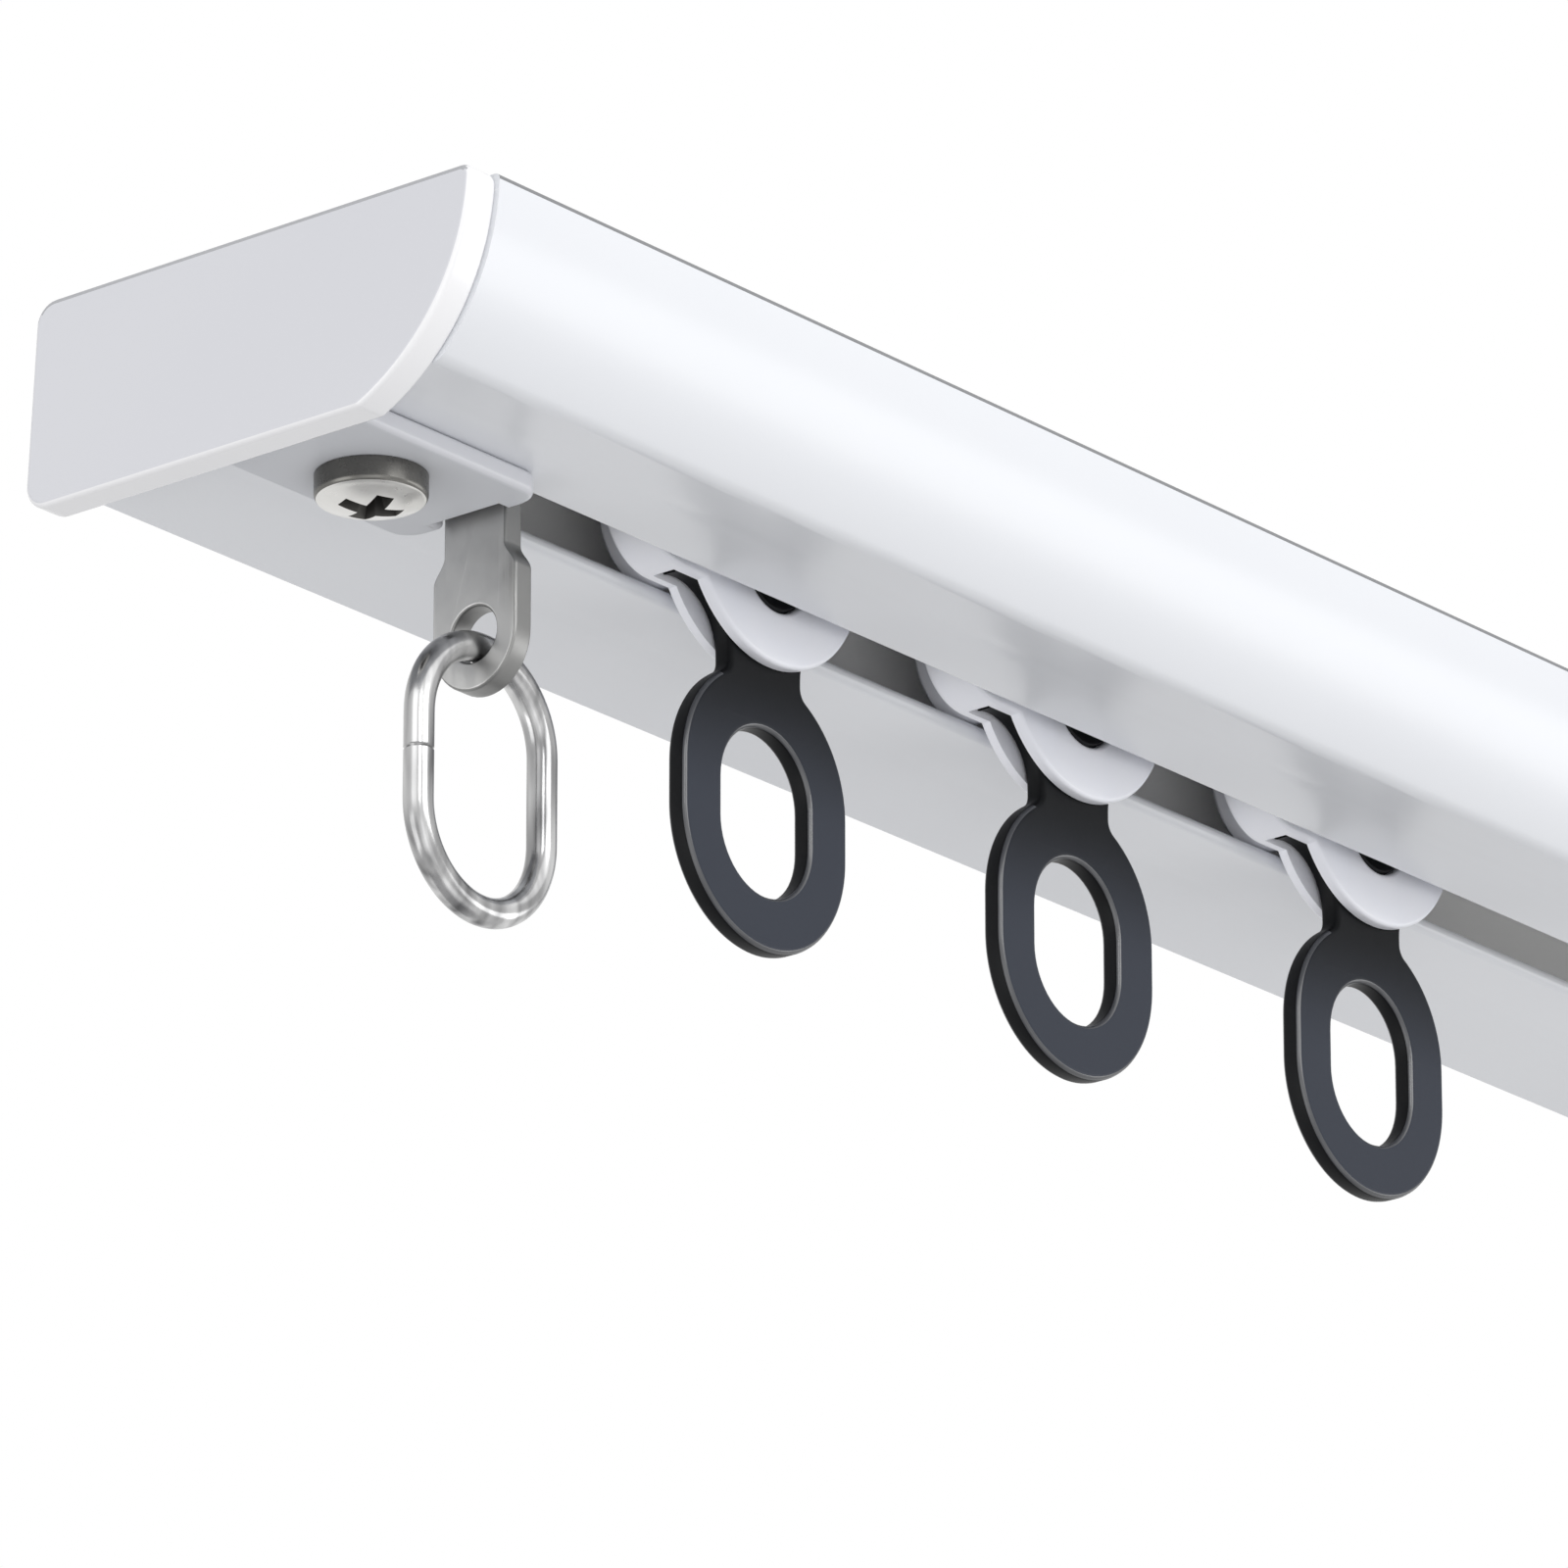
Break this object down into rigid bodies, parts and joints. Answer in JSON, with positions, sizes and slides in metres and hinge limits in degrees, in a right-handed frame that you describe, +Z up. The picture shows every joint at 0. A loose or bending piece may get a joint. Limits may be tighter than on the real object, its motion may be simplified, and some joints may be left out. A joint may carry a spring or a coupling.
{
  "type": "curtain track",
  "caption": "Ceiling curtain track: curved-front slotted rail with capped ends, hook plates, split rings and roller gliders with swinging black eyes.",
  "frame": {"origin": "on the rail's flat top face, midway between the two ceiling screw holes, above the middle of the slot", "axes": "+X along the rail, away from the end seen in the picture; -Y towards the curved front; +Z up, out of the top face"},
  "size_m": [0.4, 0.036, 0.0385],
  "materials": {
    "rail_paint": "semi-gloss white powder coat",
    "white_abs": "moulded white ABS",
    "nickel_steel": "nickel-plated steel",
    "zinc_steel": "stamped steel, satin",
    "ring_steel": "polished steel wire",
    "white_acetal": "moulded acetal",
    "white_nylon": "moulded nylon",
    "axle_steel": "drawn steel pin",
    "black_acetal": "moulded black acetal, satin"
  },
  "bodies": {
    "track": {"track_extrusion": "rail_paint", "end_cap_left": "white_abs", "end_cap_right": "white_abs", "cap_screw_left": "nickel_steel", "cap_screw_right": "nickel_steel", "hook_plate_left": "zinc_steel", "hook_plate_right": "zinc_steel"},
    "ring_left": {"end_ring_left": "ring_steel"},
    "ring_right": {"end_ring_right": "ring_steel"},
    "glider_1": {"glider_1_carriage": "white_acetal", "glider_1_axles": "axle_steel"},
    "glider_1_eye": {"glider_1_eye": "black_acetal"},
    "glider_1_left_rollers": {"glider_1_left_rollers": "white_nylon"},
    "glider_1_right_rollers": {"glider_1_right_rollers": "white_nylon"},
    "glider_2": {"glider_2_carriage": "white_acetal", "glider_2_axles": "axle_steel"},
    "glider_2_eye": {"glider_2_eye": "black_acetal"},
    "glider_2_left_rollers": {"glider_2_left_rollers": "white_nylon"},
    "glider_2_right_rollers": {"glider_2_right_rollers": "white_nylon"},
    "glider_3": {"glider_3_carriage": "white_acetal", "glider_3_axles": "axle_steel"},
    "glider_3_eye": {"glider_3_eye": "black_acetal"},
    "glider_3_left_rollers": {"glider_3_left_rollers": "white_nylon"},
    "glider_3_right_rollers": {"glider_3_right_rollers": "white_nylon"},
    "glider_4": {"glider_4_carriage": "white_acetal", "glider_4_axles": "axle_steel"},
    "glider_4_eye": {"glider_4_eye": "black_acetal"},
    "glider_4_left_rollers": {"glider_4_left_rollers": "white_nylon"},
    "glider_4_right_rollers": {"glider_4_right_rollers": "white_nylon"},
    "glider_5": {"glider_5_carriage": "white_acetal", "glider_5_axles": "axle_steel"},
    "glider_5_eye": {"glider_5_eye": "black_acetal"},
    "glider_5_left_rollers": {"glider_5_left_rollers": "white_nylon"},
    "glider_5_right_rollers": {"glider_5_right_rollers": "white_nylon"},
    "glider_6": {"glider_6_carriage": "white_acetal", "glider_6_axles": "axle_steel"},
    "glider_6_eye": {"glider_6_eye": "black_acetal"},
    "glider_6_left_rollers": {"glider_6_left_rollers": "white_nylon"},
    "glider_6_right_rollers": {"glider_6_right_rollers": "white_nylon"}
  },
  "joints": [
    {"name": "ring_left_swing", "type": "hinge", "parent": "track", "child": "ring_left", "pos_m": [-0.1787, 0, -0.02062], "axis": [1, 0, 0], "range_deg": [-60, 60]},
    {"name": "ring_right_swing", "type": "hinge", "parent": "track", "child": "ring_right", "pos_m": [0.1787, 0, -0.02062], "axis": [1, 0, 0], "range_deg": [-60, 60]},
    {"name": "glider_1_slide", "type": "slide", "parent": "track", "child": "glider_1", "axis": [1, 0, 0], "range_m": [-0.008, 0.004]},
    {"name": "glider_1_eye_swing", "type": "hinge", "parent": "glider_1", "child": "glider_1_eye", "pos_m": [-0.1524, 0, -0.0077], "axis": [0, 1, 0], "range_deg": [-10, 10]},
    {"name": "glider_1_left_rollers_spin", "type": "hinge", "parent": "glider_1", "child": "glider_1_left_rollers", "pos_m": [-0.1587, 0, -0.0056], "axis": [0, 1, 0], "continuous": true},
    {"name": "glider_1_right_rollers_spin", "type": "hinge", "parent": "glider_1", "child": "glider_1_right_rollers", "pos_m": [-0.1461, 0, -0.0056], "axis": [0, 1, 0], "continuous": true},
    {"name": "glider_2_slide", "type": "slide", "parent": "track", "child": "glider_2", "axis": [1, 0, 0], "range_m": [-0.004, 0.004]},
    {"name": "glider_2_eye_swing", "type": "hinge", "parent": "glider_2", "child": "glider_2_eye", "pos_m": [-0.12115, 0, -0.0077], "axis": [0, 1, 0], "range_deg": [-10, 10]},
    {"name": "glider_2_left_rollers_spin", "type": "hinge", "parent": "glider_2", "child": "glider_2_left_rollers", "pos_m": [-0.12745, 0, -0.0056], "axis": [0, 1, 0], "continuous": true},
    {"name": "glider_2_right_rollers_spin", "type": "hinge", "parent": "glider_2", "child": "glider_2_right_rollers", "pos_m": [-0.11485, 0, -0.0056], "axis": [0, 1, 0], "continuous": true},
    {"name": "glider_3_slide", "type": "slide", "parent": "track", "child": "glider_3", "axis": [1, 0, 0], "range_m": [-0.004, 0.02]},
    {"name": "glider_3_eye_swing", "type": "hinge", "parent": "glider_3", "child": "glider_3_eye", "pos_m": [-0.0899, 0, -0.0077], "axis": [0, 1, 0], "range_deg": [-10, 10]},
    {"name": "glider_3_left_rollers_spin", "type": "hinge", "parent": "glider_3", "child": "glider_3_left_rollers", "pos_m": [-0.0962, 0, -0.0056], "axis": [0, 1, 0], "continuous": true},
    {"name": "glider_3_right_rollers_spin", "type": "hinge", "parent": "glider_3", "child": "glider_3_right_rollers", "pos_m": [-0.0836, 0, -0.0056], "axis": [0, 1, 0], "continuous": true},
    {"name": "glider_4_slide", "type": "slide", "parent": "track", "child": "glider_4", "axis": [1, 0, 0], "range_m": [-0.02, 0.02]},
    {"name": "glider_4_eye_swing", "type": "hinge", "parent": "glider_4", "child": "glider_4_eye", "pos_m": [-0.0216, 0, -0.0077], "axis": [0, 1, 0], "range_deg": [-10, 10]},
    {"name": "glider_4_left_rollers_spin", "type": "hinge", "parent": "glider_4", "child": "glider_4_left_rollers", "pos_m": [-0.0279, 0, -0.0056], "axis": [0, 1, 0], "continuous": true},
    {"name": "glider_4_right_rollers_spin", "type": "hinge", "parent": "glider_4", "child": "glider_4_right_rollers", "pos_m": [-0.0153, 0, -0.0056], "axis": [0, 1, 0], "continuous": true},
    {"name": "glider_5_slide", "type": "slide", "parent": "track", "child": "glider_5", "axis": [1, 0, 0], "range_m": [-0.02, 0.02]},
    {"name": "glider_5_eye_swing", "type": "hinge", "parent": "glider_5", "child": "glider_5_eye", "pos_m": [0.0467, 0, -0.0077], "axis": [0, 1, 0], "range_deg": [-10, 10]},
    {"name": "glider_5_left_rollers_spin", "type": "hinge", "parent": "glider_5", "child": "glider_5_left_rollers", "pos_m": [0.0404, 0, -0.0056], "axis": [0, 1, 0], "continuous": true},
    {"name": "glider_5_right_rollers_spin", "type": "hinge", "parent": "glider_5", "child": "glider_5_right_rollers", "pos_m": [0.053, 0, -0.0056], "axis": [0, 1, 0], "continuous": true},
    {"name": "glider_6_slide", "type": "slide", "parent": "track", "child": "glider_6", "axis": [1, 0, 0], "range_m": [-0.02, 0.02]},
    {"name": "glider_6_eye_swing", "type": "hinge", "parent": "glider_6", "child": "glider_6_eye", "pos_m": [0.115, 0, -0.0077], "axis": [0, 1, 0], "range_deg": [-10, 10]},
    {"name": "glider_6_left_rollers_spin", "type": "hinge", "parent": "glider_6", "child": "glider_6_left_rollers", "pos_m": [0.1087, 0, -0.0056], "axis": [0, 1, 0], "continuous": true},
    {"name": "glider_6_right_rollers_spin", "type": "hinge", "parent": "glider_6", "child": "glider_6_right_rollers", "pos_m": [0.1213, 0, -0.0056], "axis": [0, 1, 0], "continuous": true}
  ],
  "couplings": [
    {"joint": "glider_1_left_rollers_spin", "follows": "glider_1_slide", "rad_per_m": 243.9},
    {"joint": "glider_1_right_rollers_spin", "follows": "glider_1_slide", "rad_per_m": 243.9},
    {"joint": "glider_2_left_rollers_spin", "follows": "glider_2_slide", "rad_per_m": 243.9},
    {"joint": "glider_2_right_rollers_spin", "follows": "glider_2_slide", "rad_per_m": 243.9},
    {"joint": "glider_3_left_rollers_spin", "follows": "glider_3_slide", "rad_per_m": 243.9},
    {"joint": "glider_3_right_rollers_spin", "follows": "glider_3_slide", "rad_per_m": 243.9},
    {"joint": "glider_4_left_rollers_spin", "follows": "glider_4_slide", "rad_per_m": 243.9},
    {"joint": "glider_4_right_rollers_spin", "follows": "glider_4_slide", "rad_per_m": 243.9},
    {"joint": "glider_5_left_rollers_spin", "follows": "glider_5_slide", "rad_per_m": 243.9},
    {"joint": "glider_5_right_rollers_spin", "follows": "glider_5_slide", "rad_per_m": 243.9},
    {"joint": "glider_6_left_rollers_spin", "follows": "glider_6_slide", "rad_per_m": 243.9},
    {"joint": "glider_6_right_rollers_spin", "follows": "glider_6_slide", "rad_per_m": 243.9}
  ]
}
